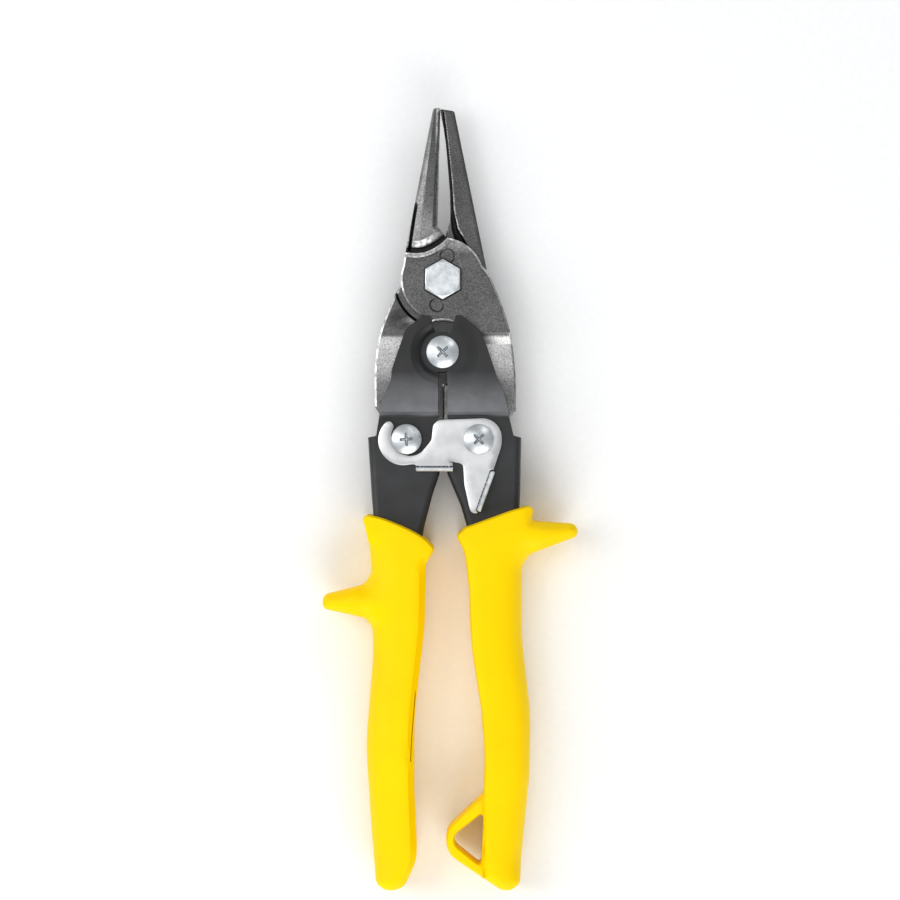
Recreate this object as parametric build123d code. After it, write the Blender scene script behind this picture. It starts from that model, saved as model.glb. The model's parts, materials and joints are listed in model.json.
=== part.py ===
from build123d import *

import math
import os

# Aviation snips: compound action sheet metal shears, lying flat on their back.
# The model is drawn about the pivot that joins the two handles.
# X runs to the right, +Y towards the jaw tips, and Z from the back plates to the front plates.
# At the end everything is moved so that the origin is under the middle of the tool.

# ---- Driving dimensions, in millimetres ----
jaw_tip_y = 77.6
grip_end_y = -170.1
grip_half_thickness = 10.0
grip_rim_radius = 1.4

blade_pivot = (0.0, 23.0)
handle_pivot = (0.0, 0.0)
left_pivot = (-11.4, -27.5)
right_pivot = (11.4, -27.5)

# Heights, measured from the plane where the two blades slide on each other.
blade_gap = 0.05
hub_top = 5.05
tip_top = 3.3
tang_half = 2.1
sheet = 1.6
upper_plate_in = 5.4
upper_plate_out = upper_plate_in + sheet
lower_plate_in = 3.4
lower_plate_out = lower_plate_in + sheet
dish_depth = 1.35
boss_rise = 0.35
boss_out = upper_plate_out + boss_rise
bend_top_y = -18.8
bend_bottom_y = -20.2
spine_top_y = -27.0
spine_end_y = -150.4

# Round features about the pivots.
hub_radius = 13.2
hub_recess_radius = 14.9
hub_recess_slope = 2.4
handle_relief_radius = 10.1
ear_radius = 6.3
dish_radius = 6.8
dish_rim = 10.2
boss_radius = 7.2
boss_rim = 11.4
running_fit = 0.05
loose_fit = 0.35

bolt_radius = 4.0
bolt_head_flats = 11.0
bolt_head_seat = 4.05
bolt_head_top = 8.0
pivot_nut_flats = 12.7
barrel_radius = 3.2
handle_barrel_radius = 3.5
screw_radius = 1.7
handle_screw_radius = 2.4
screw_head_radius = 4.75
handle_screw_head_radius = 5.1

latch_bottom = 5.35
latch_top = 6.75
latch_tab_height = 3.6
latch_tab_thickness = 1.3
washer_radius = 5.5
washer_thickness = 1.2
spring_wire = 1.1
spring_radius = 5.3
spring_turns = 4.5
spring_leg = 27.0
spring_rise = 5.5

jaw_groove_floor = 3.1
cross_recess_depth = 1.6

bottom_up = (Align.CENTER, Align.CENTER, Align.MIN)

# ---- Outlines in the XY plane: each corner is (x, y, corner radius) ----
front_jaw_outline = [
    (-0.7, jaw_tip_y, 0.4),
    (-3.0, jaw_tip_y - 0.5, 0.9),
    (-11.6, 32.4, 6),
    (-13.2, 23.0, 0),
    (0.0, 12.0, 0),
    (12.0, 27.9, 0),
    (5.7, 34.9, 3),
    (1.8, 35.5, 5),
    (-1.6, 39.9, 2),
]
front_tang_outline = [
    (5.7, 34.9, 3),
    (14.9, 24.6, 12),
    (21.7, 7.5, 60),
    (23.2, -8.0, 60),
    (23.2, -18.4, 0.8),
    (21.2, -20.9, 0.8),
    (19.2, -31.0, 6),
    (14.5, -35.2, 4),
    (1.5, -34.4, 4),
    (0.05, -28.0, 4),
    (0.05, 0.0, 0),
    (-4.5, 10.4, 0),
    (-6.0, 22.0, 0),
]
rear_jaw_outline = [
    (-0.8, jaw_tip_y - 0.3, 0.4),
    (3.7, jaw_tip_y - 1.0, 0.9),
    (13.95, 26.4, 1),
    (11.0, 17.0, 0),
    (-8.0, 17.0, 0),
    (-4.0, 34.0, 0),
    (0.6, 35.6, 0),
    (2.5, 42.8, 5),
    (2.4, 50.0, 40),
    (1.0, 66.8, 60),
]
rear_tang_outline = [
    (-12.6, 23.0, 0),
    (-15.0, 18.4, 20),
    (-20.2, 6.0, 40),
    (-21.6, -5.0, 60),
    (-21.4, -17.4, 0.8),
    (-19.5, -20.2, 0.8),
    (-19.2, -31.0, 6),
    (-14.5, -35.2, 4),
    (-4.5, -34.4, 4),
    (-2.6, -28.0, 4),
    (-2.6, 0.0, 0),
    (4.5, 10.4, 0),
    (6.0, 22.0, 0),
]
jaw_groove_outline = [
    (-7.6, 53.5, 0),
    (-8.75, 46.0, 4),
    (-9.9, 34.6, 0.6),
    (-9.2, 33.5, 0.5),
    (-6.0, 33.9, 3),
    (-2.3, 36.4, 1),
    (-1.2, 39.4, 0),
    (2.6, 37.6, 0),
    (1.0, 34.9, 0),
    (-3.4, 33.0, 8),
    (-10.6, 31.5, 0.5),
    (-10.7, 34.0, 2),
]
left_plate_outline = [
    (-3.9, 11.55, 0.5),
    (-5.9, 11.55, 1.2),
    (-11.5, 7.5, 5),
    (-13.4, 2.2, 20),
    (-15.9, -5.0, 6),
    (-16.3, -9.0, 4),
    (-19.2, -15.2, 12),
    (-21.0, -26.4, 0.4),
    (-23.6, spine_top_y, 0),
    (-22.3, -47.0, 60),
    (-20.7, -66.0, 60),
    (-19.9, -92.0, 80),
    (-21.6, -120.0, 80),
    (-21.3, -138.0, 60),
    (-20.0, -152.0, 1.5),
    (-11.0, -152.0, 1.5),
    (-11.2, -128.0, 60),
    (-8.4, -96.0, 60),
    (-7.6, -68.0, 20),
    (-5.9, -55.7, 30),
    (-3.0, -44.6, 30),
    (-0.75, -38.0, 8),
    (-1.45, -22.0, 8),
    (-1.45, -4.0, 0),
    (-1.6, 4.0, 0),
]
right_plate_outline = [
    (4.2, 11.65, 0.5),
    (5.8, 11.65, 1.4),
    (11.3, 7.5, 6),
    (13.9, 2.0, 20),
    (17.2, -8.0, 20),
    (19.2, -12.4, 12),
    (22.4, -26.3, 0.4),
    (24.9, spine_top_y, 0),
    (24.5, -47.0, 60),
    (23.2, -60.0, 60),
    (22.9, -84.0, 80),
    (25.1, -118.0, 80),
    (24.4, -138.0, 60),
    (23.3, -152.0, 1.5),
    (14.9, -152.0, 1.5),
    (15.1, -130.0, 60),
    (11.4, -92.0, 80),
    (10.2, -64.0, 20),
    (5.7, -48.5, 20),
    (1.4, -38.3, 4),
    (1.55, -22.0, 8),
    (1.55, -4.0, 0),
    (1.9, 4.0, 0),
]
left_grip_outline = [
    (-26.3, -50.8, 1.6),
    (-19.0, -52.2, 30),
    (-9.6, -56.1, 40),
    (-5.2, -58.9, 4),
    (-2.2, -62.0, 1.8),
    (-5.4, -66.8, 2.5),
    (-5.6, -86.0, 60),
    (-9.0, -116.0, 80),
    (-9.0, -138.0, 60),
    (-8.0, -160.0, 12),
    (-12.6, grip_end_y, 5),
    (-20.9, grip_end_y, 4.2),
    (-22.5, -152.0, 60),
    (-24.3, -124.0, 60),
    (-22.0, -96.0, 40),
    (-22.3, -84.4, 5.5),
    (-38.1, -81.0, 1.8),
    (-37.8, -76.8, 2.0),
    (-22.5, -73.0, 5.5),
    (-23.0, -62.0, 30),
    (-24.4, -55.0, 3),
]
right_grip_outline = [
    (4.2, -57.8, 1.6),
    (7.2, -55.2, 2),
    (15.0, -52.4, 30),
    (22.0, -49.8, 30),
    (29.2, -48.1, 1.6),
    (28.1, -53.3, 1.0),
    (42.9, -54.3, 2.4),
    (42.7, -58.2, 2.2),
    (25.1, -64.7, 7),
    (25.0, -90.0, 60),
    (27.8, -114.0, 60),
    (27.5, -134.0, 60),
    (24.9, -160.0, 40),
    (24.4, grip_end_y, 3.8),
    (18.7, grip_end_y, 6),
    (-3.3, -155.1, 7.2),
    (12.9, -139.7, 1.2),
    (13.4, -128.0, 30),
    (12.2, -113.0, 60),
    (8.9, -92.0, 60),
    (8.3, -75.0, 30),
    (7.1, -63.2, 12),
]
hang_hole_outline = [
    (13.0, -145.1, 0.9),
    (12.3, -162.3, 0.9),
    (1.8, -153.9, 3.2),
]
latch_outline = [
    (16.2, -20.8, 6),
    (18.6, -25.5, 3.5),
    (18.7, -29.2, 8),
    (15.9, -37.6, 0.6),
    (11.0, -50.9, 0.8),
    (8.9, -50.9, 1.6),
    (6.9, -42.0, 10),
    (6.5, -35.2, 1.6),
    (3.3, -34.6, 0.4),
    (-8.4, -34.4, 0),
    (-11.0, -31.0, 0),
    (-3.5, -31.0, 2.5),
    (-3.4, -21.5, 3.2),
]
hook_outer_centre = (-12.4, -27.8)
hook_outer_radius = 7.9
hook_inner_centre = (-10.3, -26.8)
hook_inner_radius = 6.0
hook_mouth_outline = [
    (-10.3, -26.8, 0),
    (-15.45, -23.15, 0),
    (-16.3, -21.9, 1),
    (-19.0, -21.9, 0),
    (-19.0, -16.0, 0),
    (4.0, -16.0, 0),
    (-3.0, -23.0, 0),
    (-3.3, -26.6, 0),
    (-5.7, -30.6, 0),
]
front_tab_low = (-8.4, -37.6)
front_tab_high = (3.3, -34.3)
lever_tab_top = (15.9, -37.6)
lever_tab_bottom = (11.4, -50.2)


def outline(corners):
    """A flat face whose straight sides meet in rounded corners."""
    points = [(x, y) for x, y, radius in corners]
    radii = [radius for x, y, radius in corners]
    return make_face(FilletPolyline(*points, radius=radii, close=True))


def slab(face, low, high):
    """The face thickened from height low to height high."""
    return extrude(Pos(0, 0, low) * face, high - low, dir=(0, 0, 1))


def disc(centre, radius, low, high):
    return Pos(centre[0], centre[1], low) * Cylinder(radius, high - low, align=bottom_up)


def ring(centre, outer, inner, low, high):
    return disc(centre, outer, low, high) - disc(centre, inner, low - 1, high + 1)


def hexagon(centre, flats, low, high, turn=0.0):
    """A hexagonal prism; with no turn two of its flats face left and right."""
    corner_radius = flats / math.sqrt(3)
    face = RegularPolygon(corner_radius, 6, rotation=30 + turn)
    return Pos(centre[0], centre[1], low) * extrude(face, high - low)


def across(profile, width=120.0):
    """A side profile of (y, z) points, carried across the whole width of the tool."""
    face = Plane.YZ * make_face(Polyline(*profile, close=True))
    return extrude(face, width / 2, both=True)


def turned(profile, centre):
    """A profile of (radius, z) points turned about an upright axis."""
    face = Plane.XZ * make_face(Polyline(*profile, close=True))
    return Pos(centre[0], centre[1], 0) * revolve(face, Axis.Z)


# ---- Blades ----
def blade(jaw_outline, tang_outline, tang_pivot, bore_radius):
    """One forged blade: flat jaw and hub on one side, and a tang centred in the handle."""
    shape = outline(jaw_outline) + Pos(*blade_pivot) * Circle(hub_radius) + outline(tang_outline)
    shape -= Pos(*handle_pivot) * Circle(handle_relief_radius)
    side = [
        (jaw_tip_y + 1, blade_gap),
        (jaw_tip_y + 1, tip_top),
        (40, hub_top),
        (5.4, hub_top),
        (-5.6, tang_half),
        (-40, tang_half),
        (-40, -tang_half),
        (22, -tang_half),
        (22, blade_gap),
    ]
    body = slab(shape, -6, 6) & across(side)
    recess = turned(
        [
            (0, blade_gap),
            (hub_recess_radius, blade_gap),
            (hub_recess_radius + hub_recess_slope, -tang_half - 0.1),
            (0, -tang_half - 0.1),
        ],
        blade_pivot,
    )
    body -= recess
    body -= disc(blade_pivot, bolt_radius + running_fit, -7, 7)
    body -= disc(tang_pivot, bore_radius, -7, 7)
    return body


def front_blade():
    body = blade(
        front_jaw_outline, front_tang_outline, right_pivot, barrel_radius + running_fit
    )
    # The bevel that runs down to the cutting edge.
    bevel_width = 1.5
    bevel = Plane.XZ * make_face(
        Polyline((-1.6 - bevel_width, 5.2), (0.5, 5.2), (0.5, 0.9), (-1.62, 0.9), close=True)
    )
    body -= Pos(0, 90, 0) * extrude(bevel, 50.2, dir=(0, -1, 0))
    # The deep groove that parts the raised jaw from its rim and from the hub.
    body -= slab(outline(jaw_groove_outline), jaw_groove_floor, 7)
    # The seat of the bolt head and two round marks beside it.
    body -= hexagon(blade_pivot, bolt_head_flats + 1.0, bolt_head_seat, 7)
    body -= disc((1.5, 30.3), 2.3, hub_top - 0.45, 7)
    body -= disc((-1.8, 15.0), 2.2, hub_top - 0.45, 7)
    return body


def rear_blade():
    body = blade(rear_jaw_outline, rear_tang_outline, left_pivot, barrel_radius + loose_fit)
    # A shallow hollow behind the cutting edge, on the face that slides on the other blade.
    hollow = outline(
        [
            (1.3, 75.0, 0),
            (2.9, 58.0, 30),
            (3.5, 44.0, 6),
            (6.3, 34.0, 0),
            (5.6, 33.6, 0),
            (2.9, 43.0, 6),
            (2.3, 58.0, 30),
            (1.0, 74.0, 0),
        ]
    )
    body = mirror(body, Plane.XY)
    return body - slab(hollow, -0.4, 1)


# ---- Handles ----
def upper_plate(face, dished):
    """A plate's end: high over the blades, bent in to the channel, and pressed in or out at the pivot."""
    side = [
        (15, upper_plate_in),
        (15, upper_plate_out),
        (bend_top_y, upper_plate_out),
        (bend_bottom_y, lower_plate_out),
        (spine_top_y, lower_plate_out),
        (spine_top_y, lower_plate_in),
        (bend_bottom_y - 0.6, lower_plate_in),
        (bend_top_y - 0.6, upper_plate_in),
    ]
    plate = slab(face, 0, 9) & across(side)
    flat, rim, rise = (dish_radius, dish_rim, -dish_depth) if dished else (boss_radius, boss_rim, boss_rise)
    steps = [(0, 1), (flat, 1), (flat + 0.3 * (rim - flat), 0.78), (flat + 0.75 * (rim - flat), 0.16), (rim, 0)]
    inner = [(radius, upper_plate_in + share * rise) for radius, share in steps]
    outer = [(radius, height + sheet) for radius, height in reversed(inner)]
    plate -= disc(handle_pivot, rim, 0, 9)
    plate += slab(face, 0, 9) & turned(inner + outer, handle_pivot)
    return plate


def channel_block(corners, side):
    """The outside of the handle channel, with its rounded back."""
    face = outline(corners) & Pos(0, spine_top_y - 100) * Rectangle(120, 200)
    block = slab(face, -lower_plate_out, lower_plate_out)
    spine_edges = [
        edge
        for edge in block.edges()
        if abs(abs(edge.center().Z) - lower_plate_out) < 0.01
        and side * edge.center().X > side * channel_middle(edge.center().Y, side)
        and spine_top_y - 0.5 > edge.center().Y > spine_end_y
    ]
    return fillet(spine_edges, 2.0)


def channel_middle(y, side):
    """Where the middle of a handle lies at height y, well inside both of its edges."""
    return side * (12.5 + 0.045 * max(0.0, -y - 50))


def handle_frame(corners, side, front_dished):
    """One stamped channel: two plates and a spine, with an ear at each end of the pivot."""
    face = outline(corners) + Pos(*handle_pivot) * Circle(ear_radius)
    front = upper_plate(face, front_dished)
    back = mirror(upper_plate(face, not front_dished), Plane.XY)
    cavity = slab(Pos(-side * sheet, 0) * outline(corners), -lower_plate_in, lower_plate_in)
    channel = channel_block(corners, side) - cavity
    frame = front + back + channel
    pivot = left_pivot if side < 0 else right_pivot
    frame -= disc(handle_pivot, handle_barrel_radius + running_fit, -9, 9)
    frame -= disc(pivot, barrel_radius + running_fit, -9, 9)
    return frame


def grip(corners, plate_corners, side):
    """A moulded sleeve over the handle channel."""
    body = slab(outline(corners), -grip_half_thickness, grip_half_thickness)
    rims = body.faces().filter_by(Axis.Z).edges()
    body = fillet(rims, grip_rim_radius)
    return body - channel_block(plate_corners, side)


def left_grip():
    return grip(left_grip_outline, left_plate_outline, -1)


def right_grip():
    body = grip(right_grip_outline, right_plate_outline, 1)
    return body - slab(outline(hang_hole_outline), -11, 11)


# ---- Fasteners ----
def domed_head(centre, radius, low, height, cross_turn):
    """A pan head with a cross recess."""
    edge = 0.7
    crown_radius = (radius**2 + (height - edge) ** 2) / (2 * (height - edge))
    crown_centre = low + height - crown_radius
    crown = Pos(centre[0], centre[1], crown_centre) * Sphere(crown_radius)
    head = disc(centre, radius, low, low + height) & crown
    for angle in (cross_turn, cross_turn + 90):
        slot = extrude(Rectangle(0.9 * radius, 0.95), -cross_recess_depth, taper=14)
        head -= Pos(centre[0], centre[1], low + height) * Rot(0, 0, angle) * slot
    return head


def screw(centre, head_radius, head_low, head_height, shank_radius, shank_low, cross_turn=45):
    head = domed_head(centre, head_radius, head_low, head_height, cross_turn)
    return head + disc(centre, shank_radius, shank_low, head_low)


def barrel_nut(centre, radius, bore_radius, top, flange_top, flange_radius):
    """A shouldered sleeve nut whose low round flange sits on the back plate."""
    flange_thickness = 2.3
    body = disc(centre, radius, flange_top, top)
    flange = disc(centre, flange_radius, flange_top - flange_thickness, flange_top)
    flange = chamfer(flange.faces().sort_by(Axis.Z)[0].edges(), 0.8)
    bore = disc(centre, bore_radius, flange_top - 0.8, top + 1)
    return body + flange - bore


def pivot_bolt():
    head = hexagon(blade_pivot, bolt_head_flats, bolt_head_seat + 0.02, bolt_head_top)
    top_cone = turned(
        [(0, 0), (8.4, 0), (8.4, 6.2), (bolt_head_flats / 2 - 0.2, bolt_head_top), (0, bolt_head_top)],
        blade_pivot,
    )
    shank = disc(blade_pivot, bolt_radius, -9.5, bolt_head_seat + 0.02)
    return (head & top_cone) + shank


def pivot_nut():
    body = hexagon(blade_pivot, pivot_nut_flats, -9.3, -5.95, turn=8)
    cone = turned([(0, -5), (9, -5), (9, -8.0), (6.2, -9.3), (0, -9.3)], blade_pivot)
    return (body & cone) - disc(blade_pivot, bolt_radius + 0.02, -10, 0)


def pivot_washer():
    return ring(blade_pivot, 7.6, bolt_radius + running_fit, -5.9, -5.1)


def tang_washers(centre):
    low = tang_half + 0.05
    washer = ring(centre, washer_radius, barrel_radius + running_fit, low, low + washer_thickness - 0.05)
    return washer + mirror(washer, Plane.XY)


def handle_pivot_sleeve():
    reach = upper_plate_in - dish_depth - 0.1
    return ring(handle_pivot, 4.4, handle_barrel_radius + running_fit, -reach, reach)


# ---- Latch ----
def latch():
    """A flat hook that swings on the right pivot, with two turned up finger tabs."""
    face = outline(latch_outline)
    hook = Pos(*hook_outer_centre) * Circle(hook_outer_radius)
    hook += Pos(-4.5, -32.2) * Rectangle(13, 6.4)
    face += hook
    face -= Pos(*hook_inner_centre) * Circle(hook_inner_radius)
    face -= outline(hook_mouth_outline)
    body = slab(face, latch_bottom, latch_top)
    tab_top = latch_bottom + latch_tab_height
    low, high = front_tab_low, front_tab_high
    tab_middle = ((low[0] + high[0]) / 2, low[1] + latch_tab_thickness / 2)
    tab = Pos(*tab_middle) * RectangleRounded(high[0] - low[0], latch_tab_thickness, 0.4)
    body += slab(tab, latch_bottom, tab_top)
    bridge = Pos(tab_middle[0], (low[1] + high[1]) / 2 - 0.1) * Rectangle(high[0] - low[0], 2.6)
    body += slab(bridge, latch_bottom, latch_top)
    run = Vector(*lever_tab_top) - Vector(*lever_tab_bottom)
    lever_middle = (Vector(*lever_tab_top) + Vector(*lever_tab_bottom)) / 2
    turn = math.degrees(math.atan2(run.Y, run.X))
    lever = Location((lever_middle.X, lever_middle.Y, 0), (0, 0, turn))
    body += slab(lever * RectangleRounded(run.length, latch_tab_thickness, 0.4), latch_bottom, tab_top)
    return body - disc(right_pivot, barrel_radius + running_fit, 0, 9)


def latch_washer():
    return ring(right_pivot, 5.2, barrel_radius + running_fit, lower_plate_out + 0.02, latch_bottom - 0.03)


# ---- Return spring ----
def return_spring():
    """A torsion spring on the handle pivot; one leg presses each handle outwards."""
    half_rise = spring_rise / 2
    wire = Circle(spring_wire / 2)
    helix = Helix(spring_rise / spring_turns, spring_rise, spring_radius)
    coil_path = Pos(0, 0, -half_rise) * helix
    coil = sweep(Plane(origin=coil_path @ 0, z_dir=coil_path % 0) * wire, path=coil_path, is_frenet=True)
    right_leg = Pos(spring_radius, 0, -half_rise) * Rot(90, 0, 0) * Cylinder(
        spring_wire / 2, spring_leg, align=bottom_up
    )
    left_leg = Pos(-spring_radius, 0, half_rise) * Rot(90, 0, 0) * Cylinder(
        spring_wire / 2, spring_leg, align=bottom_up
    )
    return coil + right_leg + left_leg


parts = {
    "front_blade": front_blade(),
    "rear_blade": rear_blade(),
    "pivot_bolt": pivot_bolt(),
    "pivot_washer": pivot_washer(),
    "pivot_nut": pivot_nut(),
    "left_handle_frame": handle_frame(left_plate_outline, -1, front_dished=True),
    "right_handle_frame": handle_frame(right_plate_outline, 1, front_dished=False),
    "left_grip": left_grip(),
    "right_grip": right_grip(),
    "handle_pivot_screw": screw(
        handle_pivot, handle_screw_head_radius, boss_out + 0.05, 2.4, handle_screw_radius, -5.5
    ),
    "handle_pivot_sleeve": handle_pivot_sleeve(),
    "handle_pivot_nut": barrel_nut(
        handle_pivot,
        handle_barrel_radius,
        handle_screw_radius + 0.02,
        upper_plate_out,
        -boss_out - 0.05,
        5.6,
    ),
    "left_pivot_screw": screw(
        left_pivot, screw_head_radius, latch_top + 0.1, 2.4, screw_radius, -3.5, cross_turn=4
    ),
    "left_pivot_nut": barrel_nut(
        left_pivot,
        barrel_radius,
        screw_radius + 0.02,
        lower_plate_out,
        -lower_plate_out - 0.05,
        screw_head_radius,
    ),
    "left_tang_washers": tang_washers(left_pivot),
    "right_pivot_screw": screw(
        right_pivot, screw_head_radius, latch_top + 0.1, 2.4, screw_radius, -3.5
    ),
    "right_pivot_nut": barrel_nut(
        right_pivot,
        barrel_radius,
        screw_radius + 0.02,
        latch_top + 0.05,
        -lower_plate_out - 0.05,
        screw_head_radius,
    ),
    "right_tang_washers": tang_washers(right_pivot),
    "latch": latch(),
    "latch_washer": latch_washer(),
    "return_spring": return_spring(),
}

# Move the origin to the middle of the tool's underside.
whole = Compound(children=[Compound(part.solids()) for part in parts.values()])
box = whole.bounding_box()
to_origin = Pos(-(box.min.X + box.max.X) / 2, -(box.min.Y + box.max.Y) / 2, -box.min.Z)

os.makedirs("parts", exist_ok=True)
for name, part in parts.items():
    export_step(Compound((to_origin * part).solids()), f"parts/{name}.step")
print("origin moved by", to_origin.position, "size", box.size)
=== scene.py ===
import json
import math

import bmesh
import bpy
import numpy as np
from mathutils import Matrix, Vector, geometry


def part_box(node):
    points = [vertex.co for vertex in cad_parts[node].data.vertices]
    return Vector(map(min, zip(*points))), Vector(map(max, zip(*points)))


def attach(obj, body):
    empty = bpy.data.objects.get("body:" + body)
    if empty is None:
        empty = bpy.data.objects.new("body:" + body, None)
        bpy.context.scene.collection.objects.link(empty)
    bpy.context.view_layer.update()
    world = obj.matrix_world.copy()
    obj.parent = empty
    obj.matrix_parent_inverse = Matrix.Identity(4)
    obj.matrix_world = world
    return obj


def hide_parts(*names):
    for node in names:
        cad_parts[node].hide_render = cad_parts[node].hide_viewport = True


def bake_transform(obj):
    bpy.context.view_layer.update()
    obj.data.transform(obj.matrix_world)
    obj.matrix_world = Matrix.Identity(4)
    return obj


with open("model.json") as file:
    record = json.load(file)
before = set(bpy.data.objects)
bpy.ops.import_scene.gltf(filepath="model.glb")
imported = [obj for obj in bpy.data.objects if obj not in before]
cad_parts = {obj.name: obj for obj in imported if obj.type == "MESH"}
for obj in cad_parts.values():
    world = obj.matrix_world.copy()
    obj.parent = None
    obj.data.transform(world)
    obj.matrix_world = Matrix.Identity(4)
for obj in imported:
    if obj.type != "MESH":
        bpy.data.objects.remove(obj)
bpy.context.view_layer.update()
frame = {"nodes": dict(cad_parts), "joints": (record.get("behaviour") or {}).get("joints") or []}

# Aviation snips lying flat. Shapes are worked out in "tool" coordinates: millimetres from the
# pivot that joins the handles, with X to the right, Y to the jaw tips and Z up from mid-plane.
MM = 0.001
nodes = frame["nodes"]
joints = {joint["name"]: joint for joint in frame["joints"]}
tool_origin = np.array(joints["handle_open"]["pos_m"])


def in_tool(point):
    """A point of the row frame, in metres, as tool coordinates in millimetres."""
    return (np.array(point) - tool_origin) / MM


def middle_of(node):
    """The middle of a CAD node's box, in tool coordinates."""
    low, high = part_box(node)
    return in_tool((low + high) / 2)


blade_pivot = in_tool(joints["blade_open"]["pos_m"])[:2]
jaw_tip_y = in_tool(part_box("front_blade")[1])[1]


# ---- Materials ----
def material(name, colour, metallic, roughness, **inputs):
    """A new material and its shader node."""
    made = bpy.data.materials.new(name)
    made.use_nodes = True
    made.diffuse_color = (*colour, 1)
    shader = made.node_tree.nodes["Principled BSDF"]
    shader.inputs["Base Color"].default_value = (*colour, 1)
    shader.inputs["Metallic"].default_value = metallic
    shader.inputs["Roughness"].default_value = roughness
    for key, value in inputs.items():
        shader.inputs[key.replace("_", " ")].default_value = value
    return made, shader


def node(made, kind, **settings):
    """A new shader node; settings are its inputs or, failing that, its properties."""
    new = made.node_tree.nodes.new(kind)
    for key, value in settings.items():
        if key in new.inputs:
            new.inputs[key].default_value = value
        else:
            setattr(new, key, value)
    return new


def link(made, source, output, target, socket):
    """Joins a node's output to another node's input."""
    made.node_tree.links.new(source.outputs[output], target.inputs[socket])


def noise(made, scale, detail=3.0, stretch=(1, 1, 1), roughness=0.55):
    """Noise in object space, with the given number of cells per metre."""
    place = node(made, "ShaderNodeTexCoord")
    squeeze = node(made, "ShaderNodeMapping")
    squeeze.inputs["Scale"].default_value = stretch
    link(made, place, "Object", squeeze, "Vector")
    texture = node(made, "ShaderNodeTexNoise", Scale=scale, Detail=detail, Roughness=roughness)
    link(made, squeeze, "Vector", texture, "Vector")
    return texture


def ramp(made, source, stops, output="Fac"):
    """The source's value turned into a colour by stops of (position, grey or colour)."""
    band = node(made, "ShaderNodeValToRGB")
    elements = band.color_ramp.elements
    while len(elements) < len(stops):
        elements.new(0.5)
    for element, (position, colour) in zip(elements, stops):
        element.position = position
        rgb = colour if isinstance(colour, tuple) else (colour, colour, colour)
        element.color = (*rgb, 1)
    link(made, source, output, band, "Fac")
    return band


def colour_output(source):
    """The colour output of a ramp or of a multiplied pair."""
    return source.outputs[2] if source.bl_idname == "ShaderNodeMix" else source.outputs[0]


def multiply(made, first, second):
    """Two colours multiplied; the second is a node or a colour."""
    mixer = node(made, "ShaderNodeMix", data_type="RGBA", blend_type="MULTIPLY")
    mixer.inputs[0].default_value = 1.0
    made.node_tree.links.new(colour_output(first), mixer.inputs[6])
    if isinstance(second, tuple):
        mixer.inputs[7].default_value = (*second, 1)
    else:
        made.node_tree.links.new(colour_output(second), mixer.inputs[7])
    return mixer


def colour_from(made, shader, source):
    """The shader's base colour taken from a ramp or from a multiplied pair."""
    made.node_tree.links.new(colour_output(source), shader.inputs["Base Color"])


def bump(made, shader, sources, distance):
    """Bumps stacked on each other: sources are (texture, strength)."""
    last = None
    for texture, strength in sources:
        step = node(made, "ShaderNodeBump", Strength=strength, Distance=distance)
        link(made, texture, 0, step, "Height")
        if last is not None:
            link(made, last, "Normal", step, "Normal")
        last = step
    link(made, last, "Normal", shader, "Normal")


def along_tool(made, stops):
    """A grey that changes along the tool: stops of (tool Y in millimetres, grey)."""
    place = node(made, "ShaderNodeTexCoord")
    parts = node(made, "ShaderNodeSeparateXYZ")
    link(made, place, "Object", parts, "Vector")
    low, high = stops[0][0], stops[-1][0]
    share = node(made, "ShaderNodeMapRange")
    share.inputs["From Min"].default_value = tool_origin[1] + low * MM
    share.inputs["From Max"].default_value = tool_origin[1] + high * MM
    link(made, parts, "Y", share, "Value")
    return ramp(made, share, [((y - low) / (high - low), grey) for y, grey in stops], "Result")


def forged_steel(name, root, middle, tip):
    """Hardened drop forging: dark, satin, finely mottled, with a painted highlight brightest just below the
    hub's step.
    The last three are how bright the painted highlight leaves the jaw at its root, its middle and its tip."""
    made, shader = material(name, (0.19, 0.19, 0.19), 1.0, 0.4)
    mottle = noise(made, 2300, 5)
    patches = noise(made, 170, 4)
    grain = noise(made, 900, 3, stretch=(2.5, 0.4, 1))
    # Painted highlight along the tool: brightest on the tang just below the hub's step, then set for the
    # jaw's root, middle and tip.
    tang_and_hub = [
        (-30, 0.45), (-22, 0.62), (-16, 0.40), (-10, 0.45), (-5, 0.95), (4.6, 1.2), (5.4, 0.28), (31, 0.26),
    ]
    painted_highlight = along_tool(made, tang_and_hub + [(36, root), (46, middle), (78, tip)])
    tone = ramp(made, mottle, [(0.28, (0.27, 0.267, 0.262)), (0.76, (0.84, 0.835, 0.83))])
    shade = ramp(made, patches, [(0.3, 0.72), (0.7, 1.0)])
    colour_from(made, shader, multiply(made, multiply(made, tone, shade), painted_highlight))
    gloss = ramp(made, mottle, [(0.25, 0.48), (0.75, 0.30)])
    link(made, gloss, "Color", shader, "Roughness")
    bump(made, shader, [(mottle, 0.30), (grain, 0.12)], 0.00008)
    return made


def oxide_and_painted_shade():
    """Dark scale in the grooves of the forgings, painted near-black as painted shade there too, and the
    painted shade round the feet of the latch tabs.
    """
    made, shader = material("oxide_and_painted_shade", (0.02, 0.02, 0.02), 0.6, 0.6)
    scale = noise(made, 1500, 4)
    tone = ramp(made, scale, [(0.3, 0.008), (0.7, 0.035)])
    colour_from(made, shader, multiply(made, tone, (1.0, 0.97, 0.94)))
    bump(made, shader, [(scale, 0.3)], 0.00008)
    return made


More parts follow.
